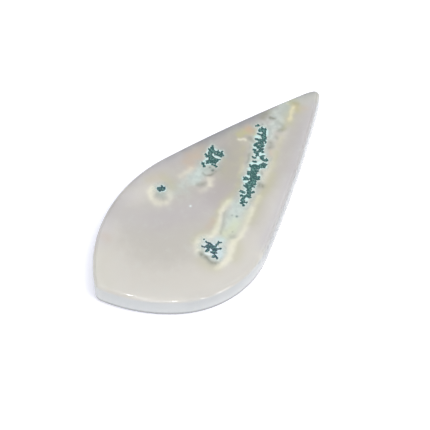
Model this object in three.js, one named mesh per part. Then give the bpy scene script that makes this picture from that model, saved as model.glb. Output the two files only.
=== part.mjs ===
// Dendritic agate: one thin, polished slab of pale grey chalcedony, cut to a leaf shape and lying flat.
// Millimetres, +Z up. The slab rests on z = 0 with its tip towards +Y, and the origin is on the base, under
// the middle of the outline's box. The green dendrites are colour inside the stone, so nothing is raised.
import * as THREE from "three";

// Driving dimensions.
const THICKNESS = 3.85;
const FACE_ROUNDING = 0.75; // radius of the polished rim round the upper face
const BASE_ROUNDING = 0.45; // radius of the smaller rim round the base

// The outline, counterclockwise, as a chain of tangent arcs: each turns by some degrees at some radius.
// The two flanks are nearly straight, and as long as it takes to close the outline.
const FIRST_HEADING = 119.3; // degrees from +X, where the right flank runs into the tip
const OUTLINE = [
  { stretch: "tip", turn: 113.6, radius: 0.85 },
  { stretch: "tip shoulder", turn: 16.8, radius: 5 },
  { stretch: "left flank", turn: 5.8 },
  { stretch: "left curve", turn: 67, radius: 23 },
  { stretch: "heel", turn: 54.4, radius: 1.7 },
  { stretch: "belly", turn: 28.8, radius: 24.3 },
  { stretch: "right curve", turn: 66.4, radius: 15.1 },
  { stretch: "right flank", turn: 7.2 },
];

// Fineness of the faceted solid.
const CHORD_ERROR = 0.004; // furthest that a facet may cut inside its arc
const FACE_RIM_STEPS = 5;
const BASE_RIM_STEPS = 4;

// The arcs with their headings at both ends, in radians.
function arcsWithHeadings() {
  let heading = THREE.MathUtils.degToRad(FIRST_HEADING);
  return OUTLINE.map(({ turn, radius }) => {
    const from = heading;
    heading += THREE.MathUtils.degToRad(turn);
    return { from, to: heading, radius };
  });
}

// How far a walk along an arc of radius 1 gets.
function unitReach({ from, to }) {
  return new THREE.Vector2(
    Math.sin(to) - Math.sin(from),
    Math.cos(from) - Math.cos(to),
  );
}

// Gives the two flanks the radii that bring the walk back to its start.
function closeOutline(arcs) {
  const flanks = arcs.filter((arc) => arc.radius === undefined);
  const gap = new THREE.Vector2();
  for (const arc of arcs) {
    if (arc.radius) gap.addScaledVector(unitReach(arc), -arc.radius);
  }
  const [a, b] = flanks.map(unitReach);
  const across = a.cross(b);
  flanks[0].radius = gap.cross(b) / across;
  flanks[1].radius = a.cross(gap) / across;
  return arcs;
}

// Points along the outline, each with the outward direction there, centred on the outline's box.
function outlineStations() {
  const stations = [];
  const start = new THREE.Vector2();
  for (const arc of closeOutline(arcsWithHeadings())) {
    const centre = start
      .clone()
      .add(new THREE.Vector2(-Math.sin(arc.from), Math.cos(arc.from)).multiplyScalar(arc.radius));
    const widestStep = 2 * Math.acos(1 - CHORD_ERROR / arc.radius);
    const steps = Math.ceil((arc.to - arc.from) / widestStep);
    for (let i = 0; i < steps; i++) {
      const heading = THREE.MathUtils.lerp(arc.from, arc.to, i / steps);
      const outward = new THREE.Vector2(Math.sin(heading), -Math.cos(heading));
      stations.push({ point: centre.clone().addScaledVector(outward, arc.radius), outward });
    }
    start.addScaledVector(unitReach(arc), arc.radius);
  }
  const middle = new THREE.Box2().setFromPoints(stations.map((s) => s.point)).getCenter(new THREE.Vector2());
  for (const { point } of stations) point.sub(middle);
  return stations;
}

// The slab's section, from the edge of the base up to the edge of the face: how far each level lies inside
// the outline, and its height.
function sectionLevels() {
  const levels = [];
  for (let i = 0; i <= BASE_RIM_STEPS; i++) {
    const angle = ((Math.PI / 2) * i) / BASE_RIM_STEPS;
    levels.push({
      inset: BASE_ROUNDING * (1 - Math.sin(angle)),
      height: BASE_ROUNDING * (1 - Math.cos(angle)),
    });
  }
  for (let i = 0; i <= FACE_RIM_STEPS; i++) {
    const angle = ((Math.PI / 2) * i) / FACE_RIM_STEPS;
    levels.push({
      inset: FACE_ROUNDING * (1 - Math.cos(angle)),
      height: THICKNESS - FACE_ROUNDING * (1 - Math.sin(angle)),
    });
  }
  return levels;
}

// One closed skin: a band of facets between each two levels, and the two flat faces.
function slabGeometry() {
  const stations = outlineStations();
  const levels = sectionLevels();
  const count = stations.length;
  const positions = levels.flatMap(({ inset, height }) =>
    stations.flatMap(({ point, outward }) => [
      point.x - inset * outward.x,
      point.y - inset * outward.y,
      height,
    ]),
  );
  const facets = [];
  for (let level = 0; level < levels.length - 1; level++) {
    for (let i = 0; i < count; i++) {
      const next = (i + 1) % count;
      const [a, b] = [level * count + i, level * count + next];
      const [c, d] = [a + count, b + count];
      facets.push(a, b, d, a, d, c);
    }
  }
  const upperFace = (levels.length - 1) * count;
  const rim = stations.map(({ point, outward }) => point.clone().addScaledVector(outward, -FACE_ROUNDING));
  for (const [a, b, c] of THREE.ShapeUtils.triangulateShape(rim, [])) {
    facets.push(upperFace + a, upperFace + b, upperFace + c);
    facets.push(c, b, a);
  }
  const geometry = new THREE.BufferGeometry();
  geometry.setAttribute("position", new THREE.Float32BufferAttribute(positions, 3));
  geometry.setIndex(facets);
  geometry.computeVertexNormals();
  return geometry;
}

function agateSlab() {
  const polishedAgate = new THREE.MeshStandardMaterial({ color: 0xc8c4bf, roughness: 0.12, metalness: 0 });
  const slab = new THREE.Mesh(slabGeometry(), polishedAgate);
  slab.name = "agate_slab";
  return slab;
}

const group = new THREE.Group();
group.add(agateSlab());

export default group;
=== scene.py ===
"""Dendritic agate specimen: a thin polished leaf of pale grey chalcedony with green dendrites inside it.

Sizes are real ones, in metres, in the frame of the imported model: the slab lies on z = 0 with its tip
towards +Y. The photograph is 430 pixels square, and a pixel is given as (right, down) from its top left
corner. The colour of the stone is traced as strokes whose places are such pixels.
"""

import logging
import math
from collections.abc import Iterable, Sequence
from dataclasses import dataclass, field
from enum import Enum
from typing import NamedTuple

import bmesh
import bpy
import numpy as np
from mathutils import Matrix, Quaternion, Vector, noise

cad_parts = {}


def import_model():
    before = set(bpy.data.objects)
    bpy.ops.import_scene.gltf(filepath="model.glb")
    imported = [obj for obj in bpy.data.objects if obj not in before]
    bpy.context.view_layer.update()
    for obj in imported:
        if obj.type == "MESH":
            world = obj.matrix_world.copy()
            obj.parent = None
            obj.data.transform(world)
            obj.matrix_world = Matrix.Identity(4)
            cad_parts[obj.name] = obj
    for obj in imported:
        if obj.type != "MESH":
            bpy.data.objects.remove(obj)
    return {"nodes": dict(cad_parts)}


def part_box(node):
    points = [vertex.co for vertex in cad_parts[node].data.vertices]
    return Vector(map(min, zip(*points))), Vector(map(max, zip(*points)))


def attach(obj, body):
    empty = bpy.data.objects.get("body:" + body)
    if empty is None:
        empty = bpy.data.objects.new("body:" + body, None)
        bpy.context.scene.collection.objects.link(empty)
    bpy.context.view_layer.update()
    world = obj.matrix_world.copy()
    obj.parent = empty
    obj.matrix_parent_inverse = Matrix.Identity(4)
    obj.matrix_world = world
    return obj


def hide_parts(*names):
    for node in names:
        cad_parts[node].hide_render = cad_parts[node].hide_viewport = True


MM = 0.001

LOG = logging.getLogger("agate")

Pixel = tuple[float, float]
Colour = tuple[float, float, float]
Span = tuple[float, float]
Socket = bpy.types.NodeSocket
Value = Socket | Colour | float
Shape = bmesh.types.BMesh
Face = bmesh.types.BMFace


def shown(red: float, green: float, blue: float) -> Colour:
    """Returns the linear colour of a display colour whose channels go from 0 to 255."""
    return tuple(((v / 255 + 0.055) / 1.055) ** 2.4 for v in (red, green, blue))


def bearing(azimuth: float, elevation: float) -> Vector:
    """The unit vector towards a place round the object.

    Args:
        azimuth: degrees from -Y, turning towards +X.
        elevation: degrees above the table.

    Returns:
        The direction from the object to that place.
    """
    turn = math.radians(azimuth)
    rise = math.radians(elevation)
    return Vector((math.sin(turn) * math.cos(rise), -math.cos(turn) * math.cos(rise), math.sin(rise)))


def linked(name: str, data: bpy.types.ID) -> bpy.types.Object:
    """Adds an object to the scene.

    Args:
        name: the object's name.
        data: its mesh, light or camera.

    Returns:
        The object.
    """
    made = bpy.data.objects.new(name, data)
    bpy.context.collection.objects.link(made)
    return made


@dataclass(frozen=True)
class PhotoView:
    """The photograph's own camera."""

    azimuth: float = 42.5
    elevation: float = 55.0
    distance: float = 320 * MM
    target: Vector = field(default_factory=lambda: Vector((-0.183, -1.778, 0)) * MM)
    frame_pixels: float = 430.0
    focal_pixels: float = 2048.0
    sensor: float = 36.0

    def axes(self) -> tuple[Vector, Vector, Vector]:
        """The camera's own directions.

        Returns:
            Right, up and forward.
        """
        forward = -bearing(self.azimuth, self.elevation)
        right = forward.cross(Vector((0, 0, 1))).normalized()
        return right, right.cross(forward), forward

    def position(self) -> Vector:
        """Returns where the camera stands."""
        return self.target + bearing(self.azimuth, self.elevation) * self.distance

    def on_level(self, pixels: Sequence[Pixel], height: float) -> np.ndarray:
        """The places on a level plane that some pixels show.

        Args:
            pixels: the pixels, in the photograph's frame.
            height: the plane's height above the table.

        Returns:
            One row of x and y for each pixel.
        """
        right, up, forward = (np.array(axis) for axis in self.axes())
        middle = self.frame_pixels / 2
        shift = (np.array(pixels) - middle) / self.focal_pixels
        rays = forward + shift[:, :1] * right - shift[:, 1:] * up
        start = np.array(self.position())
        reach = (height - start[2]) / rays[:, 2:]
        return (start + rays * reach)[:, :2]

    def place_camera(self) -> bpy.types.Object:
        """Makes the scene's camera.

        Returns:
            The camera.
        """
        data = bpy.data.cameras.new("photo_camera")
        data.sensor_width = self.sensor
        data.lens = self.focal_pixels / self.frame_pixels * self.sensor
        data.clip_start = 10 * MM
        data.clip_end = 10.0
        camera = linked("photo_camera", data)
        camera.location = self.position()
        camera.rotation_euler = self.axes()[2].to_track_quat("-Z", "Y").to_euler()
        bpy.context.scene.camera = camera
        return camera


class Mark(NamedTuple):
    """One stroke of colour in the stone, as wide as its width in millimetres."""

    name: str
    width: float
    path: tuple[Pixel, ...]
    strength: float = 1.0


def strokes(*rows: tuple) -> tuple[Mark, ...]:
    """Returns some strokes, each given by its name, width in millimetres, path and strength."""
    return tuple(Mark(*row) for row in rows)


UPPER_BRANCHES = strokes(
    ("stray fleck", 0.34, ((256.3, 126.1), (258.5, 125.2))),
    ("cap", 0.34, ((262.1, 127.6),)),
    ("crown", 0.5, ((260, 129.6), (265, 129.3))),
    ("crown base", 0.48, ((259.8, 130.8), (264.4, 131))),
    ("neck", 0.48, ((264.6, 130.4), (264.1, 134))),
    ("chest", 0.74, ((263.5, 135.4), (264.1, 137.5), (264.1, 139.6))),
    ("crown tooth", 0.26, ((257.6, 133.7), (261.6, 134.9))),
    ("first twig", 0.3, ((255.5, 139), (258, 139.3), (261.5, 139.9))),
    ("first fork", 0.34, ((258.6, 140.6), (263, 141.2))),
    ("waist", 0.7, ((261.4, 141.2), (261.3, 143.4))),
    ("waist spur", 0.22, ((265.3, 141), (265.3, 143.3))),
    ("second twig", 0.36, ((254.6, 144.7), (257, 143.4), (260, 142.5))),
    ("second fork", 0.36, ((254.6, 145.2), (257.6, 146.4))),
    ("belly", 0.62, ((257.7, 146), (259.2, 146.9), (262.2, 145.9))),
    ("belly side", 0.4, ((262.4, 143.8), (262.9, 146.4))),
    ("belly foot", 0.44, ((258, 147.8), (260.2, 148.6))),
    ("right spur", 0.2, ((260.6, 149.2), (263.2, 149.1))),
    ("third twig", 0.44, ((253.9, 149.6), (255, 150.3))),
    ("third fork", 0.42, ((254.8, 152.3), (257.4, 152.6), (259.7, 150.9))),
    ("third knot", 0.42, ((261.6, 150.6), (262.5, 152.1))),
    ("stalk", 0.3, ((257.4, 152.8), (257.2, 155))),
    ("stalk foot", 0.32, ((256.7, 155.4), (257.6, 155.2))),
    ("loose arm", 0.26, ((264.2, 155.9), (260.6, 156.6))),
    ("loose body", 0.5, ((261.6, 157.2), (262.6, 159.2))),
    ("loose foot", 0.4, ((263.2, 160), (266.6, 160.6))),
    ("loose hand", 0.4, ((267, 159.4), (266, 160.8))),
    ("left crumb", 0.36, ((253, 157), (255.3, 158.1))),
    ("left crumb below", 0.34, ((253.3, 161.4), (256.2, 161.7))),
)

LOWER_BRANCHES = strokes(
    ("beam tip", 0.3, ((263.5, 163.6), (266.2, 164.4))),
    ("beam bump", 0.4, ((260.2, 165), (261.2, 164.8))),
    ("beam tooth", 0.28, ((250.2, 164.6), (250.6, 167))),
    ("beam", 0.56, ((252.2, 166.6), (258.5, 166.6), (262.5, 166.5))),
    ("beam end", 0.44, ((262, 167), (264.4, 167.1))),
    ("beam corner", 0.4, ((263, 165.6), (264.4, 165.8))),
    ("beam spur", 0.34, ((256, 168.4), (258.8, 168.4))),
    ("trunk", 1.0, ((254.2, 166.9), (254, 170), (253.4, 174), (253.2, 178), (253, 182.4))),
    ("trunk bump", 0.3, ((256.6, 171), (257.8, 171.1))),
    ("left lobe", 0.42, ((248.4, 172.2), (251, 172.2))),
    ("left lobe foot", 0.42, ((248.4, 174), (251, 174.2))),
    ("left bar", 0.28, ((243.7, 177.4), (246.3, 177.5))),
    ("left bar heart", 0.3, ((244.4, 178.4), (247.6, 178.4))),
    ("left bar foot", 0.34, ((244, 179.5), (250, 179.1))),
    ("right bar", 0.4, ((256.2, 177.5), (258.8, 177.3))),
    ("right bar foot", 0.4, ((256.2, 179), (258.6, 179))),
    ("trunk corner", 0.32, ((255.3, 184.2),)),
    ("left shoulder", 0.42, ((246.4, 183.9), (250.5, 183.7))),
    ("shoulder tooth", 0.28, ((243.8, 185.5), (246, 186.4))),
    ("shoulder mass", 0.52, ((246.4, 186.6), (251.4, 186.4))),
    ("right crumb", 0.24, ((252.4, 186.6), (254.5, 187.1))),
    ("trunk foot", 0.74, ((249.4, 183.5), (249, 189), (248.9, 193), (248.2, 195.2))),
    ("low twig", 0.38, ((240.8, 191.3), (243.6, 192))),
    ("low knot", 0.5, ((243.2, 192.3), (243.9, 192.5))),
    ("right chip", 0.34, ((251.6, 192.6), (253.8, 191.7))),
    ("cross band", 0.4, ((241, 195.4), (245.5, 196), (248.3, 196.6), (249.8, 197.7))),
    ("tail", 0.48, ((243.7, 196), (243.6, 198), (242.8, 200.4))),
    ("tail knot", 0.4, ((241.4, 200.1), (243.2, 200))),
    ("tail spur", 0.24, ((243.6, 201.3), (244.8, 202.3), (246.9, 202.4))),
    ("tail foot", 0.34, ((240.7, 203.1), (242.5, 202.3))),
    ("end crumb", 0.38, ((243.1, 204.8), (243.7, 205.3))),
)

SPRIG = strokes(
    ("tip", 0.22, ((212.5, 145.6), (212.2, 147))),
    ("head", 0.54, ((212.2, 147.7), (211.8, 150))),
    ("left tooth", 0.34, ((208.9, 149), (210.8, 149.6))),
    ("right shoulder", 0.3, ((213.2, 149.9), (213.6, 150.2))),
    ("second tooth", 0.32, ((208.6, 152.3), (210.6, 152.3))),
    ("heart", 0.58, ((210.2, 151.8), (214, 151.9))),
    ("heart foot", 0.52, ((209.6, 153.6), (211.4, 154.2))),
    ("right arm", 0.34, ((214.5, 152), (217.8, 151.9))),
    ("arm tooth", 0.26, ((218.1, 150.8), (218.5, 152.4))),
    ("arm finger", 0.24, ((221.2, 152.8), (222.3, 151.2))),
    ("arm palm", 0.44, ((218.6, 153.4), (221.4, 153.4))),
    ("arm end", 0.3, ((220.6, 154.8), (223.6, 155.3))),
    ("arm heel", 0.42, ((219.2, 155.6), (221, 156.2))),
    ("arm root", 0.44, ((215.6, 154.5), (219, 154.9))),
    ("left spike", 0.28, ((205.6, 154.2), (206.8, 155.6))),
    ("left mass", 0.5, ((206.9, 156.2), (209.2, 156.3))),
    ("middle", 0.58, ((209.6, 155.4), (212.2, 157.6))),
    ("lower mass", 0.76, ((210.6, 160), (216.2, 160.2))),
    ("lower edge", 0.48, ((209.2, 162.2), (215.2, 162.4))),
    ("left foot", 0.34, ((206.6, 161.2), (209, 161.4))),
    ("left toe", 0.28, ((206.4, 163), (208.4, 163.1))),
    ("right spike", 0.3, ((216.4, 160), (219.6, 159.5))),
    ("loose bar", 0.28, ((201.8, 162.8), (203.8, 162.9))),
    ("loose leg", 0.38, ((202.6, 163.6), (204.4, 166.2))),
    ("bottom spike", 0.34, ((212.4, 164.4), (214.5, 165.5), (216.4, 166.6))),
)

LITTLE_STAR = strokes(
    ("left lobe", 0.42, ((158, 188.1), (158.8, 189.2))),
    ("down spike", 0.2, ((159.6, 190), (159.6, 191.4))),
    ("bar", 0.34, ((159.5, 188.2), (162, 187.8))),
    ("top lobe", 0.32, ((161.9, 185.9), (161.7, 187.4))),
    ("right lobe", 0.36, ((164.2, 187.5), (164.3, 189.2))),
    ("foot", 0.32, ((160.2, 189.9), (163.6, 190.2))),
    ("core", 0.4, ((161.4, 189), (163.2, 189))),
)

SPIDER = strokes(
    ("upper dot", 0.24, ((204, 239.5),)),
    ("far dot", 0.22, ((220.9, 242.6),)),
    ("upper left leg", 0.32, ((205.9, 241.6), (207.2, 242.4), (210.2, 243.6), (211.7, 245.2))),
    ("left leg", 0.22, ((201.7, 246.4), (203.4, 246.9), (205.8, 247))),
    ("body", 0.66, ((207.6, 246.4), (213.5, 247))),
    ("upper right leg", 0.32, ((214.5, 247), (217.4, 244.3), (218.4, 242.2))),
    ("right leg", 0.3, ((215.5, 248.6), (218.2, 249), (220.9, 248.6))),
    ("lower left leg", 0.44, ((208.3, 249.2), (206.8, 251.1))),
    ("hip", 0.76, ((213.3, 248.4), (213.2, 251.8))),
    ("hip foot", 0.28, ((212.5, 253), (216.3, 253.3))),
    ("hip side", 0.36, ((214, 250.3), (216.2, 250.3))),
    ("front foot", 0.38, ((214.2, 255.9), (213, 256.8))),
    ("side foot", 0.28, ((214.8, 255.5), (216, 256.6), (217.2, 258.4))),
)

BRANCHES = UPPER_BRANCHES + LOWER_BRANCHES + SPRIG + LITTLE_STAR + SPIDER

MOSS_HOLES = strokes(
    ("crown hole", 0.36, ((260.6, 132.9), (261.8, 133.2))),
    ("belly hole", 0.18, ((259.1, 144.5), (259.9, 144.4))),
    ("third hole", 0.42, ((257.4, 149.9),)),
    ("low strip", 0.24, ((245.9, 191.2), (246.4, 193.4))),
    ("low hole", 0.3, ((243.6, 194.4), (244.4, 194.5))),
    ("sprig slit", 0.28, ((212.4, 154.4), (214.4, 156), (216.8, 157.5))),
    ("sprig pit", 0.2, ((213.9, 153.8),)),
    ("sprig notch", 0.34, ((206.9, 159.2), (207.6, 159.3))),
    ("spider slit", 0.24, ((210.6, 248.6), (211.3, 250.6))),
)

VEILS = strokes(
    ("edge cloud", 2.4, ((288, 103), (281, 113), (276, 124))),
    ("crown cloud", 1.9, ((277, 112), (268.5, 136)), 0.8),
    ("upper sleeve", 2.3, ((262, 129), (257.5, 160), (253.5, 176))),
    ("lower sleeve", 2.2, ((253.5, 176), (242, 204))),
    ("long cloud", 2.5, ((239, 206), (234.5, 215), (231.5, 225), (228, 234))),
    ("neck cloud", 1.9, ((227, 235), (220, 243), (213, 248))),
    ("spider cloud", 2.9, ((206, 247), (218.5, 252.5))),
    ("sprig sleeve", 1.7, ((212, 149), (211, 157), (212, 163)), 0.75),
    ("sprig tail", 2.0, ((206, 168), (198, 174), (191.5, 181.5))),
    ("sprig trail", 2.6, ((191, 183), (183, 188), (173, 190.5)), 0.62),
    ("star veil", 1.5, ((161, 188), (160.5, 195)), 0.8),
)

CREAM_STREAKS = strokes(
    ("wing", 0.5, ((239.5, 139.2), (242, 138.7), (245.5, 139.3)), 0.65),
    ("wing shade", 0.9, ((243, 142), (247.5, 145)), 0.1),
    ("upper left bank", 0.9, ((244, 165), (242.3, 171.5)), 0.25),
    ("left bank", 0.85, ((228, 201.8), (224.5, 206.4), (221.3, 213.8)), 0.74),
    ("left bank foot", 0.85, ((221.3, 213.8), (219.4, 220), (218.4, 226), (215.8, 231.5)), 0.56),
    ("left bank end", 0.9, ((215.8, 231.5), (212.5, 235.3), (208.5, 237.2)), 0.68),
    ("spider ring left", 1.2, ((206, 237.3), (200.8, 239.3), (197.8, 244), (197.8, 250)), 0.6),
    ("spider ring foot", 1.0, ((218.5, 266.4), (221.5, 264.9), (224.8, 262.2), (228.6, 257.2)), 0.74),
    ("spider ring right", 1.0, ((228.8, 257.5), (230.9, 251), (231.4, 246.5), (233.8, 241.8)), 0.68),
    ("right bank end", 0.8, ((233.5, 241.8), (238, 238.6), (241.8, 234.5)), 0.62),
    ("right bank foot", 0.8, ((241.8, 234.5), (244.5, 229.5), (245, 225.5)), 0.62),
    ("right bank", 0.9, ((245, 225.5), (250.8, 214), (252.8, 208)), 0.55),
    ("right bank top", 0.9, ((252.8, 208), (255, 203), (259, 197)), 0.35),
    ("trunk side", 1.3, ((261.5, 180), (268, 170), (270.5, 163)), 0.36),
    ("long side", 1.1, ((269.5, 163), (274.5, 150), (279.3, 142)), 0.14),
    ("upper side", 1.0, ((279.3, 142), (284, 133)), 0.22),
    ("edge chip", 0.2, ((286.8, 103.2), (288, 103.4)), 0.7),
    ("sprig streak", 0.85, ((180.5, 176.2), (188.5, 170.8), (191, 168)), 0.42),
    ("sprig pool", 1.1, ((210.4, 180), (209.6, 184)), 0.66),
    ("sprig pool rim", 1.0, ((209.6, 184.2), (206.5, 187.8), (201, 191)), 0.26),
    ("star ring left", 1.0, ((152.3, 188.8), (150.7, 192.5), (151.7, 198)), 0.74),
    ("star ring foot", 1.1, ((151.5, 198), (155.5, 202), (160.5, 203.3), (166, 201.8)), 0.55),
    ("star ring right", 1.1, ((166, 201.8), (169.3, 199), (169.7, 195), (167.8, 190.5)), 0.36),
)

OLIVE_STAINS = strokes(
    ("middle warmth", 3.4, ((241, 140), (234, 165), (229.5, 174)), 0.3),
    ("gate warmth", 1.5, ((293, 108), (290, 115), (288, 123)), 0.5),
    ("wing stain", 1.3, ((239, 135), (244, 132.3), (248, 131.5)), 0.9),
    ("edge smear warmth", 1.2, ((268.5, 112), (262.5, 116.5)), 0.2),
    ("crown stain", 0.7, ((254.3, 130.5), (254.3, 134.5)), 0.8),
    ("left end warmth", 3.0, ((98.5, 256), (100, 268), (105, 281)), 0.09),
    ("left margin", 1.0, ((243, 147), (241, 158), (240.8, 168), (237.3, 190)), 0.47),
    ("left margin foot", 1.0, ((235, 191), (224, 202), (217.5, 213), (214.5, 224)), 0.4),
    ("right margin top", 1.0, ((276.5, 152), (272, 168)), 0.45),
    ("right margin", 1.3, ((272, 174), (269, 185), (256.5, 202)), 0.5),
    ("right margin foot", 1.3, ((259.5, 200), (254.5, 214), (250.5, 222)), 0.38),
    ("gate stain", 1.3, ((293, 103.2), (296, 105.4), (296.4, 110)), 0.85),
    ("edge stain", 0.9, ((290, 102.8), (292.5, 102)), 0.6),
    ("gate foot", 0.7, ((288, 122), (285.5, 126), (283, 129)), 0.5),
    ("cloud foot", 0.9, ((281, 138), (279, 146)), 0.35),
    ("sprig left warmth", 1.6, ((190, 157), (201, 150.5)), 0.14),
    ("sprig margin", 1.1, ((224.5, 160), (226, 165), (223.5, 171)), 0.36),
    ("star margin", 1.2, ((162, 177), (170, 182), (172, 188)), 0.4),
    ("star far margin", 1.3, ((148, 180), (154, 178)), 0.22),
    ("spider margin", 1.7, ((237, 243), (237.5, 251), (235, 258)), 0.35),
    ("spider foot margin", 1.6, ((201, 261), (208, 266.5), (217, 268.5)), 0.28),
    ("spider left margin", 1.2, ((206, 231), (199, 234), (194, 241)), 0.3),
)

PEACH_STAINS = strokes(
    ("wing blush", 1.05, ((248.5, 129), (251.5, 130.5))),
    ("sprig blush", 1.1, ((188, 155), (195, 157.5), (200.5, 155.5)), 0.5),
    ("sprig wide blush", 1.6, ((194, 153.5), (203, 149)), 0.28),
    ("sprig left blush", 1.2, ((186, 161), (192, 163), (190, 167)), 0.45),
    ("star blush", 1.6, ((151, 180), (158, 176.5)), 0.15),
    ("margin blush", 0.6, ((270.4, 151), (270.8, 154)), 0.4),
    ("gate rust", 1.0, ((295.8, 104.6), (296.8, 108)), 0.3),
    ("gate blush", 1.0, ((301.5, 108), (306, 108.5)), 0.28),
    ("left bank blush", 1.0, ((213, 221), (209, 227)), 0.4),
    ("far left blush", 1.2, ((104.5, 235), (107.5, 239)), 0.25),
)

SMUDGES = strokes(
    ("cloud knot", 0.6, ((270.8, 118), (273.6, 118.2)), 0.85),
    ("edge rust", 0.9, ((289.6, 101.6), (294, 101.4), (296.5, 103.6)), 0.2),
    ("edge cloud shade", 1.8, ((285, 106.5), (283, 113)), 0.22),
    ("cloud hem", 0.8, ((277, 121.5), (282.5, 125.5), (283.5, 128.5)), 0.3),
    ("cloud corner", 0.7, ((279.5, 130.4), (282.3, 129)), 0.42),
    ("cloud dot", 0.5, ((276.8, 137.2),), 0.55),
    ("side smudge", 0.8, ((270.2, 143.5), (270.6, 146.5)), 0.68),
    ("edge smear", 1.2, ((268.5, 112), (262.5, 116.5)), 0.34),
    ("wing dusk", 0.6, ((250, 138), (252.6, 140.8)), 0.46),
    ("margin dusk", 0.42, ((250, 153.5), (248.6, 157), (247.8, 162.5)), 0.4),
    ("pale side", 0.4, ((261, 171.5), (262, 173.3)), 0.4),
    ("trunk shadow", 0.85, ((258, 185), (261.5, 186)), 0.75),
    ("sprig arc", 0.5, ((215.8, 171.8), (211, 174.8), (205.5, 174.8), (202.5, 173.2)), 0.6),
    ("sprig foot", 1.7, ((206, 168), (215.5, 169)), 0.27),
    ("sprig tail knot", 0.8, ((198.3, 184.3), (203.3, 184)), 0.4),
    ("long cloud edge", 0.42, ((226.5, 210.5), (224.6, 216), (223.6, 226), (220.5, 234)), 0.27),
    ("long cloud shade", 1.0, ((225.5, 213), (227.5, 217)), 0.22),
    ("long cloud knot", 0.6, ((230, 237), (233.8, 236.4)), 0.27),
    ("spider shadow", 0.75, ((201.5, 253.8), (209.5, 260.2)), 0.65),
    ("spider shadow foot", 0.95, ((209.5, 260), (212.5, 262.4), (216, 263)), 0.62),
    ("star ghost", 1.5, ((158.5, 194), (161.5, 198)), 0.34),
    ("tail shade", 2.8, ((176, 190), (181, 187.5), (187, 190)), 0.1),
)

SPECKS = strokes(
    ("faint fleck", 0.24, ((262.5, 124.3),), 0.6),
    ("sprig dot", 0.42, ((212.7, 170.3),)),
    ("sprig speck", 0.3, ((210, 167.4),), 0.85),
    ("lone crumb", 0.36, ((236.8, 216.4),)),
    ("upper speck", 0.26, ((232, 215.3),), 0.5),
    ("lower speck", 0.24, ((232.5, 231.9),), 0.35),
)

FROST_SPOTS = strokes(
    ("tip mist", 3.4, ((309, 99), (315, 97)), 0.08),
    ("long cloud mist", 2.4, ((238, 208), (233, 222)), 0.14),
    ("sprig mist", 1.6, ((201, 170), (196, 178)), 0.16),
    ("left notch", 0.3, ((248.4, 168.8), (250.2, 169.4)), 0.8),
    ("right notch", 0.3, ((251.8, 189.2), (253.2, 189.6)), 0.35),
    ("tail notch", 0.3, ((246, 198.4), (247.3, 199.6)), 0.8),
    ("first window", 0.6, ((256.6, 136.9), (258.6, 136.6)), 0.9),
    ("right window", 0.42, ((267.2, 131), (266.6, 135)), 0.8),
    ("second window", 0.3, ((254.6, 147), (256, 148.5)), 0.9),
    ("third window", 0.5, ((260.5, 154.6), (264, 154.6)), 0.9),
    ("fourth window", 0.4, ((258, 158.3), (257.5, 156.6)), 0.8),
    ("fifth window", 0.5, ((251.5, 163.5), (256.5, 164), (259.6, 162.5)), 0.9),
    ("left window", 0.34, ((246, 176), (249, 176.3)), 0.9),
    ("bar window", 0.38, ((244.3, 181.3), (249, 181.4)), 0.95),
    ("trunk window", 0.42, ((257.3, 175.3), (259.3, 175.2)), 0.8),
    ("spider left window", 0.36, ((203.6, 244.3), (205, 244.4)), 0.4),
    ("spider top window", 0.36, ((212.8, 242.3), (214.2, 243.3)), 0.35),
    ("spider top mist", 0.9, ((217.5, 239.3), (221.5, 239.8)), 0.4),
    ("spider side mist", 0.8, ((220, 250.5), (220, 256)), 0.5),
    ("sprig window", 0.28, ((206.8, 159.2), (203.9, 161.2)), 0.8),
)

PEARL_SPOTS = strokes(
    ("pit", 0.3, ((190.5, 206),)),
    ("spider window", 0.44, ((206.3, 253.2), (207.4, 253.8), (209.4, 254.2)), 0.9),
    ("spider foot rim", 0.4, ((210.5, 258), (215, 260.6), (218.5, 260)), 0.22),
    ("spider mist", 1.6, ((206, 242.5), (212, 240.5), (220, 244)), 0.2),
)

# How light the face is: lighter towards the near rims, darker towards the far flank and in the middle.
LIGHT_ZONES = strokes(
    ("left shoulder", 4.0, ((136, 196), (156, 180)), 0.82),
    ("belly", 9.0, ((103, 262), (122, 285), (170, 291), (222, 277), (252, 250))),
    ("right curve", 4.5, ((252, 250), (268, 225), (280, 196)), 0.6),
    ("left curve", 5.0, ((104, 258), (108, 232)), 0.75),
)

DARK_ZONES = strokes(
    ("left flank", 4.5, ((205, 145), (250, 123), (280, 109)), 0.66),
    ("left flank foot", 4.5, ((160, 170), (205, 145)), 0.46),
    ("middle", 5.0, ((236, 140), (232, 164), (225, 182), (214, 196))),
    ("heart", 5.0, ((158, 220), (210, 204)), 0.5),
    ("sprig side", 3.0, ((178, 158), (190, 150)), 0.5),
    ("right flank", 4.0, ((296, 128), (287, 152), (280, 180)), 0.3),
)

# Painted glow: the face lighter near the near rims and the left end, standing in for light through the
# stone's edges.
PAINTED_RIM_GLOW = strokes(
    ("right flank low", 2.6, ((290, 184), (276, 222), (264, 250)), 0.4),
    ("bottom", 2.6, ((264, 250), (240, 277), (200, 296), (150, 297), (110, 290)), 0.3),
    ("left end", 2.4, ((101, 287), (94.5, 280), (92.8, 268), (93.6, 256)), 0.6),
    ("left curve", 2.0, ((93.6, 256), (96, 242), (103, 220)), 0.42),
    ("left foot", 3.5, ((105, 272), (110, 281), (118, 287)), 0.35),
)

# Painted shade along the far edge, the right rim and the right wall, and darker patches of the stone in the
# middle of the face.
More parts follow.
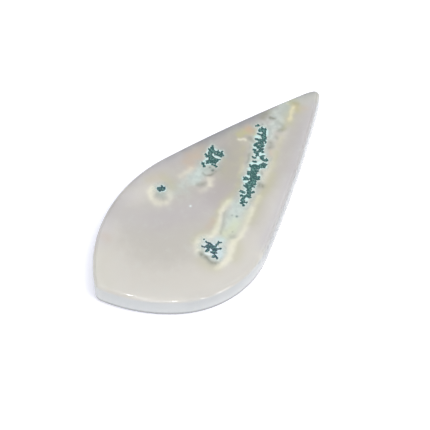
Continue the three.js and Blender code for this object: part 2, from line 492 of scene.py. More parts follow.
PAINTED_SHADE_AND_DARK_PATCHES = strokes(
    ("right rim", 1.2, ((317, 102), (305.5, 142), (291.5, 184), (275, 227), (264, 250)), 0.16),
    ("right curve wall", 1.2, ((190, 299), (215, 293.5), (240, 280), (258, 260)), 0.14),
    ("tip side", 3.0, ((306, 118), (298, 145)), 0.1),
    ("far edge foot", 1.8, ((104, 221), (112, 202), (128, 182)), 0.1),
    ("far edge left", 2.0, ((128, 182), (140, 172), (152, 163.5)), 0.25),
    ("far edge rise", 2.0, ((152, 163.5), (166, 155.5)), 0.42),
    ("far edge", 2.2, ((166, 155.5), (182, 147.5)), 0.62),
    ("far edge middle", 2.3, ((182, 147.5), (198, 139.7)), 0.84),
    ("far edge right", 2.5, ((198, 139.7), (260, 110.8))),
    ("far edge end", 2.4, ((260, 110.8), (270, 106.4)), 0.75),
    ("far edge tip", 1.7, ((286, 99.8), (300, 93.8), (311, 90)), 0.62),
    ("rosy patch", 2.6, ((226, 150), (232, 158)), 0.3),
    ("middle shade", 3.2, ((236, 128), (233, 176)), 0.19),
)

# Painted lavender reflection near the right rim, the left curve and the far edge, and a lilac tone in the
# middle of the face.
LILAC_ZONES = strokes(
    ("right rim", 2.0, ((315, 106), (303, 140), (290, 181), (276, 218), (265, 243)), 0.5),
    ("left curve", 3.0, ((100, 238), (113, 212), (128, 196)), 0.35),
    ("heart", 4.5, ((122, 216), (160, 219), (200, 208)), 0.3),
    ("far edge", 2.4, ((134, 180), (150, 168), (170, 157), (184, 150)), 0.45),
)

GOLD_STREAKS = strokes(
    ("gate", 0.72, ((289.8, 119), (290.4, 115), (291.6, 111), (293.2, 107.6)), 0.8),
)

LIME_CLOUDS = strokes(
    ("long cloud glow", 1.9, ((236, 224), (232.5, 230), (226, 234)), 0.68),
    ("left bank top", 0.8, ((229.5, 200.5), (226.2, 204)), 0.4),
    ("left bank side", 0.8, ((218.6, 224), (215.5, 229.5), (211.5, 233)), 0.28),
    ("right bank glow", 1.2, ((247, 212), (243.5, 222), (239.5, 231)), 0.28),
)

COLD_SPOTS = strokes(
    ("spider", 3.6, ((205, 245), (215, 248), (215.5, 257))),
    ("little star", 1.8, ((161, 188.3),), 0.7),
)

# Painted shade on the right flank's wall, a little lighter towards its foot.
PAINTED_FLANK_WALL_SHADE = strokes(
    ("right flank", 2.4, ((318, 100), (306.5, 142), (292.5, 184), (276, 227), (267, 246))),
)


class Tint(Enum):
    """The colours traced on the stone, painted light and shade among them, each kept on the slab as a vertex
    attribute of this name.
    """

    # Lighter towards the near rims, darker towards the far flank and in the middle.
    TONE = "face_lightness"
    # Painted shade along the far edge and the right rim, and darker patches in the middle of the face.
    PAINTED_SHADE_AND_DARK_TONE = "dusk"
    # Painted glow near the rims.
    BLOOM = "painted_rim_glow"
    # Painted lavender reflection near the rims, and a lilac tone in the face.
    LILAC = "lilac"
    # Painted shade on the right flank's wall.
    PAINTED_WALL_SHADE = "painted_wall_shade"
    VEIL = "veil"
    CREAM = "cream"
    OLIVE = "olive"
    PEACH = "peach"
    GOLD = "gold"
    LIME = "lime"
    SMUDGE = "smudge"
    SPECK = "speck"
    FROST = "frost"
    PEARL = "pearl"
    COLD = "cold"
    MOSS_GAP = "moss_gap"
    NOOK = "moss_nook"


# The strokes kept as they are drawn, and below them those that a noise makes waver.
STEADY = {
    Tint.PAINTED_SHADE_AND_DARK_TONE: PAINTED_SHADE_AND_DARK_PATCHES,
    Tint.BLOOM: PAINTED_RIM_GLOW,
    Tint.LILAC: LILAC_ZONES,
    Tint.PAINTED_WALL_SHADE: PAINTED_FLANK_WALL_SHADE,
    Tint.SPECK: SPECKS,
    Tint.FROST: FROST_SPOTS,
    Tint.PEARL: PEARL_SPOTS,
    Tint.COLD: COLD_SPOTS,
}

WAVERING = {
    Tint.VEIL: VEILS,
    Tint.CREAM: CREAM_STREAKS,
    Tint.OLIVE: OLIVE_STAINS,
    Tint.PEACH: PEACH_STAINS,
    Tint.GOLD: GOLD_STREAKS,
    Tint.LIME: LIME_CLOUDS,
    Tint.SMUDGE: SMUDGES,
}


@dataclass(frozen=True)
class FaceTracing:
    """Turns strokes on the photograph into strengths at places on the slab's face."""

    view: PhotoView
    face_height: float

    def distance(self, places: np.ndarray, marks: Iterable[Mark]) -> np.ndarray:
        """How far each place is outside the nearest of some strokes.

        Args:
            places: a row of x and y for each place, in metres.
            marks: the strokes.

        Returns:
            The distances in millimetres, below zero inside a stroke.
        """
        nearest = np.full(len(places), np.inf)
        for mark in marks:
            nearest = np.minimum(nearest, self._from_path(places, mark) - mark.width / 2)
        return nearest

    def strength(self, places: np.ndarray, marks: Iterable[Mark]) -> np.ndarray:
        """The soft strength of some strokes at each place: half of a stroke's own at half its width.

        Args:
            places: a row of x and y for each place, in metres.
            marks: the strokes.

        Returns:
            The strengths, from 0 to 1.
        """
        strongest = np.zeros(len(places))
        for mark in marks:
            spread = self._from_path(places, mark) / (mark.width / 2)
            strongest = np.maximum(strongest, mark.strength * np.exp(-math.log(2) * spread**2))
        return strongest

    def crowding(self, places: np.ndarray, marks: Iterable[Mark], reach: float) -> np.ndarray:
        """How closely strokes crowd round each place.

        Args:
            places: a row of x and y for each place, in metres.
            marks: the strokes.
            reach: how far from its edge a stroke still counts, in millimetres.

        Returns:
            About 1 beside a single stroke, and more in a nook between several.
        """
        crowd = np.zeros(len(places))
        for mark in marks:
            gap = np.maximum(self._from_path(places, mark) - mark.width / 2, 0)
            crowd += np.exp(-((gap / reach) ** 2))
        return crowd

    def stirred(self, places: np.ndarray, swirl: float, reach: float, seed: int) -> np.ndarray:
        """Moves places by a smooth noise, so that the strokes measured there waver as grown ones do.

        Args:
            places: a row of x and y for each place, in metres.
            swirl: the size of the noise's blotches.
            reach: about how far the noise moves a place.
            seed: which noise it is.

        Returns:
            The moved places.
        """
        noise.seed_set(seed)
        moves = np.array([noise.noise_vector(Vector((x, y, 0)) / swirl)[:2] for x, y in places])
        return places + moves * reach

    def _from_path(self, places: np.ndarray, mark: Mark) -> np.ndarray:
        """How far each place is from a stroke's middle line.

        Args:
            places: a row of x and y for each place, in metres.
            mark: the stroke.

        Returns:
            The distances in millimetres.
        """
        path = self.view.on_level(mark.path, self.face_height)
        nearest = np.linalg.norm(places - path[0], axis=1)
        for start, end in zip(path[:-1], path[1:]):
            along = end - start
            share = np.clip((places - start) @ along / (along @ along), 0, 1)
            foot = start + share[:, None] * along
            nearest = np.minimum(nearest, np.linalg.norm(places - foot, axis=1))
        return nearest / MM


class Bench:
    """A node tree with short calls to add and join its nodes."""

    def __init__(self, tree: bpy.types.NodeTree) -> None:
        """Clears the tree."""
        self.tree = tree
        tree.nodes.clear()

    def add(self, kind: str, inputs: dict | None = None, **settings: object) -> bpy.types.Node:
        """Adds a node.

        Args:
            kind: the node's type name.
            inputs: a value or an output socket for each input, by name or number.
            settings: the node's own properties.

        Returns:
            The node.
        """
        node = self.tree.nodes.new(kind)
        for name, value in settings.items():
            setattr(node, name, value)
        for name, value in (inputs or {}).items():
            socket = node.inputs[name]
            if isinstance(value, Socket):
                self.tree.links.new(value, socket)
            elif socket.type == "RGBA" and len(value) == 3:
                socket.default_value = (*value, 1)
            else:
                socket.default_value = value
        return node

    def traced(self, tint: Tint) -> Socket:
        """Returns the strength of a traced colour."""
        return self.add("ShaderNodeAttribute", attribute_name=tint.value).outputs["Fac"]

    def sum(self, kind: str, first: Value, second: Value, clamp: bool = False) -> Socket:
        """Returns the result of a sum of two numbers or sockets, such as ADD or MULTIPLY."""
        return self.add("ShaderNodeMath", {0: first, 1: second}, operation=kind, use_clamp=clamp).outputs[0]

    def rise(self, vector: Socket) -> Socket:
        """Returns a vector's upward part."""
        return self.add("ShaderNodeSeparateXYZ", {0: vector}).outputs["Z"]

    def surface(self, inputs: dict, **settings: object) -> None:
        """Adds the surface's shader and joins it to the material's output."""
        shader = self.add("ShaderNodeBsdfPrincipled", inputs, **settings)
        self.add("ShaderNodeOutputMaterial", {"Surface": shader.outputs[0]})

    def ramp(self, value: Socket, low: float, high: float, start: float = 0.0, end: float = 1.0) -> Socket:
        """Returns a value mapped smoothly from low..high to start..end."""
        inputs = {"Value": value, "From Min": low, "From Max": high, "To Min": start, "To Max": end}
        return self.add("ShaderNodeMapRange", inputs, interpolation_type="SMOOTHSTEP").outputs[0]

    def blend(self, share: Socket, under: Value, over: Value) -> Socket:
        """Returns one colour laid over another by a share."""
        return self.add("ShaderNodeMix", {0: share, 6: under, 7: over}, data_type="RGBA").outputs[2]


@dataclass(frozen=True)
class PolishedAgate:
    """The finish of the stone: polished chalcedony, faintly see-through, with its traced colours and painted
    light and shade.

    The jag of a dendrite's edge and the reaches round it are in millimetres, and the bands of the duller
    ground edge and of the painted contact shadow are in roundings of the base. A swing is the part of a
    noise's range that counts.
    """

    dusky: Colour = shown(183, 177, 174)
    grey: Colour = shown(194, 191, 183)
    pale: Colour = shown(209, 206, 198)
    # Painted glow near the rims.
    painted_glow: Colour = shown(218, 217, 211)
    # Painted lavender reflection near the rims, and a lilac tone in the face.
    lilac: Colour = shown(198, 195, 201)
    # Painted shade along the far edge and the right rim, also used for darker patches of the stone.
    dusk: Colour = shown(150, 152, 155)
    # The wall, painted cooler than the face and lighter towards its foot, standing in for light through the
    # stone.
    edge: Colour = shown(203, 206, 205)
    foot: Colour = shown(211, 214, 213)
    # Painted contact shadow where the wall meets the table.
    painted_contact_shadow: Colour = shown(146, 148, 148)
    # Painted shade on the right flank's wall, a little lighter towards its foot.
    painted_shade_top: Colour = shown(162, 164, 162)
    painted_shade_foot: Colour = shown(172, 174, 172)
    olive: Colour = shown(190, 189, 146)
    peach: Colour = shown(199, 175, 152)
    gold: Colour = shown(228, 222, 188)
    cream: Colour = shown(237, 235, 216)
    lime: Colour = shown(209, 213, 181)
    veil: Colour = shown(205, 213, 206)
    veil_shade: Colour = shown(190, 199, 193)
    smudge: Colour = shown(138, 142, 128)
    speck: Colour = shown(96, 112, 106)
    ring: Colour = shown(164, 179, 171)
    mist: Colour = shown(203, 214, 207)
    frost: Colour = shown(205, 236, 233)
    cold_frost: Colour = shown(211, 232, 241)
    pearl: Colour = shown(228, 238, 237)
    moss: Colour = shown(44, 91, 88)
    moss_light: Colour = shown(98, 148, 140)
    moss_edge: Colour = shown(58, 86, 88)
    cold_moss: Colour = shown(54, 84, 94)
    roughness: Span = (0.056, 0.091)
    ground_roughness: float = 0.6
    ground_band: Span = (1.2, 0.8)
    painted_contact_band: Span = (2.1, 0.8)
    rim_start: float = 0.3
    refraction: float = 1.54
    glow_share: float = 0.5
    glow_reach: float = 0.9 * MM
    glow_tint: Colour = (1.0, 0.95, 0.9)
    cloud_size: float = 1.4 * MM
    wisp_size: float = 0.9 * MM
    grain_size: float = 0.26 * MM
    broad_swing: Span = (0.2, 0.8)
    swing: Span = (0.25, 0.75)
    stain_swing: Span = (0.25, 0.7)
    wisp_swing: Span = (0.3, 0.6)
    fleck_swing: Span = (0.42, 0.6)
    light_swing: Span = (0.48, 0.62)
    tone_drift: float = 0.06
    painted_shade_at_foot: float = 0.35
    veil_fray: float = 0.25
    veil_share: float = 0.9
    stain_drift: Span = (0.75, 1.1)
    mottling: Span = (0.6, 1.3)
    jag: float = 0.09
    ring_reach: Span = (1.0, 0.4)
    ring_share: Span = (0.4, 0.05)
    halo_reach: Span = (0.6, 0.05)
    halo_share: Span = (0.1, 0.75)
    nook_crowd: Span = (1.1, 2.4)
    nook_share: float = 0.35
    edge_reach: Span = (-0.14, 0.02)
    edge_share: float = 0.7
    leaf_reach: Span = (0.07, 0.0)

    def material(self, slab: "AgateSlab") -> bpy.types.Material:
        """Makes the stone's material.

        Args:
            slab: the stone, for its heights.

        Returns:
            The material.
        """
        material = bpy.data.materials.new("polished_agate")
        material.use_nodes = True
        bench = Bench(material.node_tree)
        place = bench.add("ShaderNodeTexCoord").outputs["Object"]
        cloud = self._noise(bench, place, self.cloud_size, detail=4.0)
        wisp = self._noise(bench, place, self.wisp_size, detail=1.5)
        grain = self._noise(bench, place, self.grain_size, detail=3.0)
        fleck = self._noise(bench, place, self.grain_size, detail=2.0)
        colour = self._stone(bench, place, cloud, slab)
        colour = self._stains(bench, colour, cloud, wisp)
        colour = self._moss(bench, colour, grain, fleck)
        inputs = {
            "Base Color": colour,
            "Roughness": self._polish(bench, place, grain, slab),
            "IOR": self.refraction,
            "Subsurface Weight": self.glow_share,
            "Subsurface Radius": self.glow_tint,
            "Subsurface Scale": self.glow_reach,
        }
        bench.surface(inputs, subsurface_method="RANDOM_WALK")
        return material

    def _noise(self, bench: Bench, place: Socket, size: float, detail: float) -> Socket:
        """Returns a cloudy noise from 0 to 1 whose blotches have a real size."""
        inputs = {"Vector": place, "Scale": 1 / size, "Detail": detail, "Roughness": 0.6}
        return bench.add("ShaderNodeTexNoise", inputs).outputs["Fac"]

    def _polish(self, bench: Bench, place: Socket, grain: Socket, slab: "AgateSlab") -> Socket:
        """The roughness: an even polish, and a duller ground edge at the table.

        Args:
            bench: the material's nodes.
            place: the place on the slab.
            grain: the finest noise.
            slab: the stone, for its heights.

        Returns:
            The roughness.
        """
        polish = bench.ramp(grain, *self.broad_swing, *self.roughness)
        high, low = (share * slab.base_rounding for share in self.ground_band)
        foot_band = bench.ramp(bench.rise(place), high, low, 0.0, self.ground_roughness)
        return bench.sum("MAXIMUM", polish, foot_band)

    def _stone(self, bench: Bench, place: Socket, cloud: Socket, slab: "AgateSlab") -> Socket:
        """The stone's colour: a slow change over the face, painted glow, lilac and shade near the rims, and
        a wall painted cooler and lighter towards its foot, with a painted contact shadow at the table.

        Args:
            bench: the material's nodes.
            place: the place on the slab.
            cloud: the broadest noise.
            slab: the stone, for its heights.

        Returns:
            The colour.
        """
        drift = bench.ramp(cloud, *self.broad_swing, -self.tone_drift, self.tone_drift)
        tone = bench.sum("ADD", bench.traced(Tint.TONE), drift)
        colour = bench.blend(bench.ramp(tone, 0.0, 0.5), self.dusky, self.grey)
        colour = bench.blend(bench.ramp(tone, 0.5, 1.0), colour, self.pale)
        # Painted glow near the rims.
        colour = bench.blend(bench.traced(Tint.BLOOM), colour, self.painted_glow)
        # Painted lavender reflection near the rims, and a lilac tone in the face.
        colour = bench.blend(bench.traced(Tint.LILAC), colour, self.lilac)
        height = bench.rise(place)
        rim_foot = slab.thickness - slab.face_rounding
        # The wall: painted cooler than the face and lighter towards its foot, standing in for light through
        # the stone.
        fall = bench.ramp(height, rim_foot, slab.base_rounding)
        # Painted contact shadow where the wall meets the table.
        foot_band = bench.ramp(height, *(share * slab.base_rounding for share in self.painted_contact_band))
        wall = bench.blend(foot_band, bench.blend(fall, self.edge, self.foot), self.painted_contact_shadow)
        # Painted shade on the right flank's wall.
        painted_flank = bench.blend(fall, self.painted_shade_top, self.painted_shade_foot)
        wall = bench.blend(bench.traced(Tint.PAINTED_WALL_SHADE), wall, painted_flank)
        turn = bench.ramp(height, slab.thickness - self.rim_start * slab.face_rounding, rim_foot)
        colour = bench.blend(turn, colour, wall)
        # Painted shade along the far edge and the right rim, fading down the wall; it also darkens patches
        # of the stone.
        fade = bench.ramp(height, slab.base_rounding, rim_foot, self.painted_shade_at_foot)
        dusk = bench.sum("MULTIPLY", bench.traced(Tint.PAINTED_SHADE_AND_DARK_TONE), fade)
        return bench.blend(dusk, colour, self.dusk)

    def _stains(self, bench: Bench, colour: Socket, cloud: Socket, wisp: Socket) -> Socket:
        """Lays the soft stains, streaks and clouds over the stone.

        Args:
            bench: the material's nodes.
            colour: the stone's colour, with its painted light and shade.
            cloud: the broadest noise.
            wisp: the middle noise.

        Returns:
            The stained colour.
        """
        fray = bench.ramp(cloud, *self.swing, -self.veil_fray, self.veil_fray)
        veil = bench.sum("ADD", bench.traced(Tint.VEIL), fray)
        haze = bench.blend(bench.ramp(wisp, *self.wisp_swing), self.veil_shade, self.veil)
        colour = bench.blend(bench.ramp(veil, 0.0, 1.0, 0.0, self.veil_share), colour, haze)
        drift = bench.ramp(cloud, *self.stain_swing, *self.stain_drift)
        stains = {
            Tint.OLIVE: self.olive,
            Tint.PEACH: self.peach,
            Tint.GOLD: self.gold,
            Tint.CREAM: self.cream,
            Tint.LIME: self.lime,
        }
        for tint, stain in stains.items():
            share = bench.sum("MULTIPLY", bench.traced(tint), drift, clamp=True)
            colour = bench.blend(share, colour, stain)
        mottle = bench.ramp(wisp, *self.wisp_swing, *self.mottling)
        smudge = bench.sum("MULTIPLY", bench.traced(Tint.SMUDGE), mottle, clamp=True)
        colour = bench.blend(smudge, colour, self.smudge)
        return bench.blend(bench.traced(Tint.SPECK), colour, self.speck)

    def _moss(self, bench: Bench, colour: Socket, grain: Socket, fleck: Socket) -> Socket:
        """Lays the frosty halo and the green dendrites over the stone.

        Args:
            bench: the material's nodes.
            colour: the stained stone's colour.
            grain: the finest noise.
            fleck: the same noise with less detail.

        Returns:
            The finished colour.
        """
        jag = bench.ramp(grain, *self.swing, -self.jag, self.jag)
        gap = bench.sum("ADD", bench.traced(Tint.MOSS_GAP), jag)
        dim = bench.ramp(fleck, *self.fleck_swing, *self.ring_share)
        ring = bench.sum("MULTIPLY", bench.ramp(gap, *self.ring_reach), dim)
        colour = bench.blend(ring, colour, self.ring)
        nook = bench.ramp(bench.traced(Tint.NOOK), *self.nook_crowd)
        flecked = bench.ramp(fleck, *self.fleck_swing, *self.halo_share)
        thick = bench.sum("ADD", flecked, bench.sum("MULTIPLY", nook, self.nook_share), clamp=True)
        frayed = bench.sum("ADD", gap, jag)
        halo = bench.sum("MULTIPLY", bench.ramp(frayed, *self.halo_reach), thick)
        cold = bench.traced(Tint.COLD)
        frost = bench.blend(cold, self.frost, self.cold_frost)
        colour = bench.blend(halo, colour, bench.blend(nook, self.mist, frost))
        colour = bench.blend(bench.traced(Tint.FROST), colour, frost)
        colour = bench.blend(bench.traced(Tint.PEARL), colour, self.pearl)
        leaf = bench.blend(cold, self.moss, self.cold_moss)
        leaf = bench.blend(bench.ramp(fleck, *self.light_swing), leaf, self.moss_light)
        leaf = bench.blend(bench.ramp(gap, *self.edge_reach, 0.0, self.edge_share), leaf, self.moss_edge)
        return bench.blend(bench.ramp(gap, *self.leaf_reach), colour, leaf)


class Arc(NamedTuple):
    """One stretch of the outline: how many degrees it turns left, and its radius, or None to be solved."""

    stretch: str
    turn: float
    radius: float | None


@dataclass
class AgateSlab:
    """The stone itself: a leaf-shaped slab with a rounded rim round each face."""

    thickness: float = 3.85 * MM
    face_rounding: float = 0.75 * MM
    base_rounding: float = 0.45 * MM
    first_heading: float = 119.3
    outline: tuple[Arc, ...] = (
        Arc("tip", 113.6, 0.85 * MM),
        Arc("tip shoulder", 16.8, 5 * MM),
        Arc("left flank", 5.8, None),
        Arc("left curve", 67.0, 23 * MM),
        Arc("heel", 54.4, 1.7 * MM),
        Arc("belly", 28.8, 24.3 * MM),
        Arc("right curve", 66.4, 15.1 * MM),
        Arc("right flank", 7.2, None),
    )
    arc_step: float = 0.35 * MM
    arc_turn_step: float = 6.0
    face_rim_segments: int = 10
    base_rim_segments: int = 5
    rim_collar: float = 0.05 * MM
    mesh_pitch: float = 0.5 * MM
    marked_cuts: int = 4
    marked_reach: float = 0.6
    swirl: float = 0.9 * MM
    swirl_reach: float = 0.24 * MM
    swirl_seed: int = 203
    nook_reach: float = 0.35
    join_slack: float = 0.01 * MM
    level_slack: float = 0.0001 * MM
    cut_slack: float = 0.001 * MM
    node: str = "agate_slab"

    def closed_outline(self) -> list[Arc]:
        """Gives the two flanks the radii that bring the outline back to its start.

        Returns:
            The arcs, each with its radius.
        """
        heading = math.radians(self.first_heading)
        gap = np.zeros(2)
        open_arcs = []
        reaches = []
        for index, arc in enumerate(self.outline):
            end = heading + math.radians(arc.turn)
            reach = np.array([math.sin(end) - math.sin(heading), math.cos(heading) - math.cos(end)])
            if arc.radius is None:
                open_arcs.append(index)
                reaches.append(reach)
            else:
                gap -= arc.radius * reach
            heading = end
        closed = list(self.outline)
        for index, radius in zip(open_arcs, np.linalg.solve(np.array(reaches).T, gap)):
            closed[index] = closed[index]._replace(radius=float(radius))
        return closed

    def build(self, tracing: FaceTracing) -> bpy.types.Object:
        """Models the slab.

        Args:
            tracing: the traced colours, which ask for a finer mesh where they are.

        Returns:
            The slab's object, without a material.
        """
        shape = bmesh.new()
        face = self._trace_outline(shape)
        self._raise_slab(shape, face)
        self._round_rims(shape)
        self._divide(shape, tracing)
        mesh = bpy.data.meshes.new("dendritic_agate")
        shape.to_mesh(mesh)
        shape.free()
        mesh.shade_smooth()
        return linked("dendritic_agate", mesh)

    def _trace_outline(self, shape: Shape) -> Face:
        """Spins a point through the arcs.

        Args:
            shape: the empty mesh to draw in.

        Returns:
            The flat face that the arcs close.
        """
        tracer = bmesh.ops.create_vert(shape, co=(0, 0, 0))["vert"][0]
        heading = math.radians(self.first_heading)
        for arc in self.closed_outline():
            turn = math.radians(arc.turn)
            centre = tracer.co + arc.radius * Vector((-math.sin(heading), math.cos(heading), 0))
            steps = math.ceil(max(arc.radius * turn / self.arc_step, arc.turn / self.arc_turn_step))
            swept = bmesh.ops.spin(
                shape, geom=[tracer], cent=centre, axis=(0, 0, 1), angle=turn, steps=steps
            )
            tracer = next(g for g in swept["geom_last"] if isinstance(g, bmesh.types.BMVert))
            heading += turn
        bmesh.ops.remove_doubles(shape, verts=shape.verts[:], dist=self.join_slack)
        corners = np.array([vert.co for vert in shape.verts])
        middle = Vector((corners.max(axis=0) + corners.min(axis=0)) / 2)
        bmesh.ops.translate(shape, verts=shape.verts[:], vec=-middle)
        return bmesh.ops.contextual_create(shape, geom=shape.edges[:])["faces"][0]

    def _raise_slab(self, shape: Shape, base: Face) -> None:
        """Extrudes the outline's face to the slab's thickness.

        Args:
            shape: the mesh.
            base: the outline's face.
        """
        raised = bmesh.ops.extrude_face_region(shape, geom=[base], use_keep_orig=True)
        top = [g for g in raised["geom"] if isinstance(g, bmesh.types.BMVert)]
        bmesh.ops.translate(shape, verts=top, vec=(0, 0, self.thickness))
        bmesh.ops.recalc_face_normals(shape, faces=shape.faces[:])

    def _round_rims(self, shape: Shape) -> None:
        """Bevels the edge of the face and the edge of the base.

        Args:
            shape: the mesh.
        """
        rims = (
            (self.thickness, self.face_rounding, self.face_rim_segments),
            (0.0, self.base_rounding, self.base_rim_segments),
        )
        for height, rounding, segments in rims:
            flat = self._flat_face(shape, height)
            bmesh.ops.bevel(
                shape,
                geom=flat.edges[:],
                offset=rounding,
                offset_type="OFFSET",
                segments=segments,
                profile=0.5,
                affect="EDGES",
                material=-1,
                clamp_overlap=False,
            )
            flat = self._flat_face(shape, height)
            bmesh.ops.inset_region(shape, faces=[flat], thickness=self.rim_collar, use_even_offset=True)

    def _level_faces(self, shape: Shape, height: float) -> list[Face]:
        """Returns the level faces at a height."""
        return [f for f in shape.faces if all(abs(v.co.z - height) < self.level_slack for v in f.verts)]

    def _flat_face(self, shape: Shape, height: float) -> Face:
        """Returns the largest level face at a height."""
        return max(self._level_faces(shape, height), key=lambda f: f.calc_area())

    def _divide(self, shape: Shape, tracing: FaceTracing) -> None:
        """Cuts the slab into small squares, smaller still where narrow strokes lie.

        Args:
            shape: the mesh.
            tracing: the traced colours.
        """
        corners = np.array([vert.co for vert in shape.verts])
        for axis in (0, 1):
            normal = Vector((axis == 0, axis == 1, 0))
            low, high = corners[:, axis].min(), corners[:, axis].max()
            for cut in np.arange(low + self.mesh_pitch / 2, high, self.mesh_pitch):
                bmesh.ops.bisect_plane(
                    shape,
                    geom=shape.verts[:] + shape.edges[:] + shape.faces[:],
                    plane_co=normal * cut,
                    plane_no=normal,
                    dist=self.cut_slack,
                )
        level = self._level_faces(shape, self.thickness)
        middles = np.array([f.calc_center_median()[:2] for f in level])
        narrow = BRANCHES + CREAM_STREAKS + GOLD_STREAKS + SMUDGES + SPECKS + FROST_SPOTS + PEARL_SPOTS
        near = tracing.distance(middles, narrow) < self.marked_reach
        marked = [f for f, close in zip(level, near) if close]
        edges = list(dict.fromkeys(e for f in marked for e in f.edges))
        bmesh.ops.subdivide_edges(shape, edges=edges, cuts=self.marked_cuts, use_grid_fill=True)

    def trace_colours(self, slab: bpy.types.Object, tracing: FaceTracing) -> None:
        """Keeps the strength of each traced colour on the slab's vertices.

        Args:
            slab: the slab's object.
            tracing: the traced colours.
        """
        count = len(slab.data.vertices)
        places = np.empty(count * 3)
        slab.data.vertices.foreach_get("co", places)
        places = places.reshape(-1, 3)[:, :2]
        moss = tracing.distance(places, BRANCHES)
        holes = tracing.distance(places, MOSS_HOLES)
        light = tracing.strength(places, LIGHT_ZONES)
        dark = tracing.strength(places, DARK_ZONES)
        stirred = tracing.stirred(places, self.swirl, self.swirl_reach, self.swirl_seed)
        values = {
            Tint.TONE: 0.5 + (light - dark) / 2,
            Tint.MOSS_GAP: np.maximum(moss, -holes),
            Tint.NOOK: tracing.crowding(places, BRANCHES, self.nook_reach),
        }
        values |= {tint: tracing.strength(places, marks) for tint, marks in STEADY.items()}
        values |= {tint: tracing.strength(stirred, marks) for tint, marks in WAVERING.items()}
        for tint, value in values.items():
            attribute = slab.data.attributes.new(tint.value, "FLOAT", "POINT")
            attribute.data.foreach_set("value", value)

    def dress(self, slab: bpy.types.Object, finish: PolishedAgate) -> None:
        """Gives the slab its finish and its place in the frame.

        Args:
            slab: the slab's object.
            finish: the stone's finish.
        """
        slab.data.materials.append(finish.material(self))
        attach(slab, "root")
        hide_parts(self.node)


class LampUse(Enum):
    """What a lamp does: light the stone, or only glint in its polish."""

    LIGHT = "light"
    GLINT = "glint"


class Lamp(NamedTuple):
    """One soft lamp, aimed at the stone."""

    name: str
    azimuth: float
    elevation: float
    distance: float
    width: float
    height: float
    radiance: float
    use: LampUse = LampUse.GLINT
    colour: Colour = (1.0, 1.0, 1.0)
    roll: float = 0.0


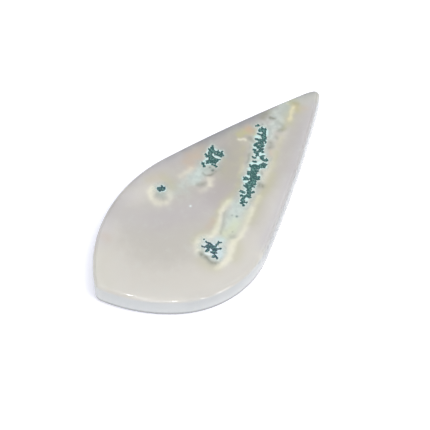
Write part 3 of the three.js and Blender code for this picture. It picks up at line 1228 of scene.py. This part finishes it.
@dataclass(frozen=True)
class Studio:
    """The table and the light: a white table, two soft lamps, and small lamps that only the polish shows."""

    table_half: float = 4.0
    table_drop: float = 0.02 * MM
    table_colour: Colour = (0.74, 0.74, 0.74)
    table_roughness: float = 0.9
    table_glow: float = 0.44
    glow_colour: Colour = (0.96, 0.97, 1.09)
    sky: float = 0.88
    sky_colour: Colour = (0.96, 0.965, 1.03)
    low_sky: float = 0.24
    sky_rise: Span = (0.3, 0.9)
    lamps: tuple[Lamp, ...] = (
        Lamp("key", 106, 60, 0.6, 0.34, 0.34, 5.55, LampUse.LIGHT, (1, 0.985, 0.93)),
        Lamp("front", 0, 10, 0.6, 0.3, 0.2, 2.6, LampUse.LIGHT, (1, 0.99, 0.98)),
        Lamp("window", 44.5, 24.5, 0.6, 0.42, 0.084, 7.2, colour=(0.96, 0.98, 1.1)),
        Lamp("side_window", 77, 11, 0.6, 0.24, 0.09, 2, colour=(0.96, 0.98, 1.1)),
        Lamp("left_dash", 0.4, 66.2, 0.5, 0.19, 0.037, 9.5, roll=-66),
        Lamp("left_tail", 20, 50, 0.5, 0.2, 0.05, 2.6, roll=-80),
        Lamp("middle_dash", 43.3, 28, 0.5, 0.038, 0.18, 10.5),
        Lamp("right_dash", 69, 13, 0.5, 0.05, 0.17, 15),
        Lamp("far_dash", 84.8, 12, 0.5, 0.05, 0.17, 20),
        Lamp("end_dash", 93, 10, 0.5, 0.07, 0.15, 7),
    )

    def lay_table(self) -> bpy.types.Object:
        """Makes the table top.

        Returns:
            The table.
        """
        shape = bmesh.new()
        bmesh.ops.create_grid(shape, x_segments=1, y_segments=1, size=self.table_half)
        mesh = bpy.data.meshes.new("table")
        shape.to_mesh(mesh)
        shape.free()
        table = linked("table", mesh)
        table.location.z = -self.table_drop
        material = bpy.data.materials.new("white_table")
        material.use_nodes = True
        bench = Bench(material.node_tree)
        inputs = {
            "Base Color": self.table_colour,
            "Roughness": self.table_roughness,
            "Specular IOR Level": 0.0,
            "Emission Color": self.glow_colour,
            "Emission Strength": self.table_glow,
        }
        bench.surface(inputs)
        mesh.materials.append(material)
        return table

    def hang_lamps(self) -> None:
        """Makes the lamps, each aimed at the middle of the stone."""
        for lamp in self.lamps:
            data = bpy.data.lights.new(lamp.name, "AREA")
            data.shape = "RECTANGLE"
            data.size = lamp.width
            data.size_y = lamp.height
            data.color = lamp.colour
            data.energy = lamp.radiance * lamp.width * lamp.height * math.pi
            light = linked(lamp.name, data)
            towards = bearing(lamp.azimuth, lamp.elevation)
            light.location = towards * lamp.distance
            roll = Quaternion((0, 0, 1), math.radians(lamp.roll))
            light.rotation_euler = ((-towards).to_track_quat("-Z", "Y") @ roll).to_euler()
            light.visible_camera = False
            light.visible_diffuse = lamp.use is LampUse.LIGHT
            light.visible_glossy = lamp.use is LampUse.GLINT
            LOG.info("lamp %s hung", lamp.name)

    def light_sky(self) -> None:
        """Makes the even light all round, darker near the table, and plain white behind the scene."""
        world = bpy.data.worlds.new("studio_sky")
        bpy.context.scene.world = world
        world.use_nodes = True
        bench = Bench(world.node_tree)
        direction = bench.add("ShaderNodeTexCoord").outputs["Generated"]
        strength = bench.ramp(bench.rise(direction), *self.sky_rise, self.low_sky, self.sky)
        soft = bench.add("ShaderNodeBackground", {"Color": self.sky_colour, "Strength": strength})
        plain = bench.add("ShaderNodeBackground", {"Color": (1, 1, 1), "Strength": 1.0})
        seen = bench.add("ShaderNodeLightPath").outputs["Is Camera Ray"]
        mixed = bench.add("ShaderNodeMixShader", {0: seen, 1: soft.outputs[0], 2: plain.outputs[0]})
        bench.add("ShaderNodeOutputWorld", {"Surface": mixed.outputs[0]})


def main() -> None:
    """Builds the view, the stone and the studio in order."""
    logging.basicConfig(level=logging.INFO, format="%(name)s: %(message)s")
    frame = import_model()
    LOG.info("frame: %d node", len(frame["nodes"]))
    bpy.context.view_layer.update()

    view = PhotoView()
    view.place_camera()

    stone = AgateSlab(thickness=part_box(AgateSlab.node)[1][2])
    tracing = FaceTracing(view, stone.thickness)
    slab = stone.build(tracing)
    stone.trace_colours(slab, tracing)
    stone.dress(slab, PolishedAgate())
    slab.data.calc_loop_triangles()
    LOG.info("stone: %d triangles", len(slab.data.loop_triangles))

    studio = Studio()
    studio.lay_table()
    studio.hang_lamps()
    studio.light_sky()
    scene = bpy.context.scene
    scene.view_settings.view_transform = "Standard"


if __name__ == "__main__":
    main()
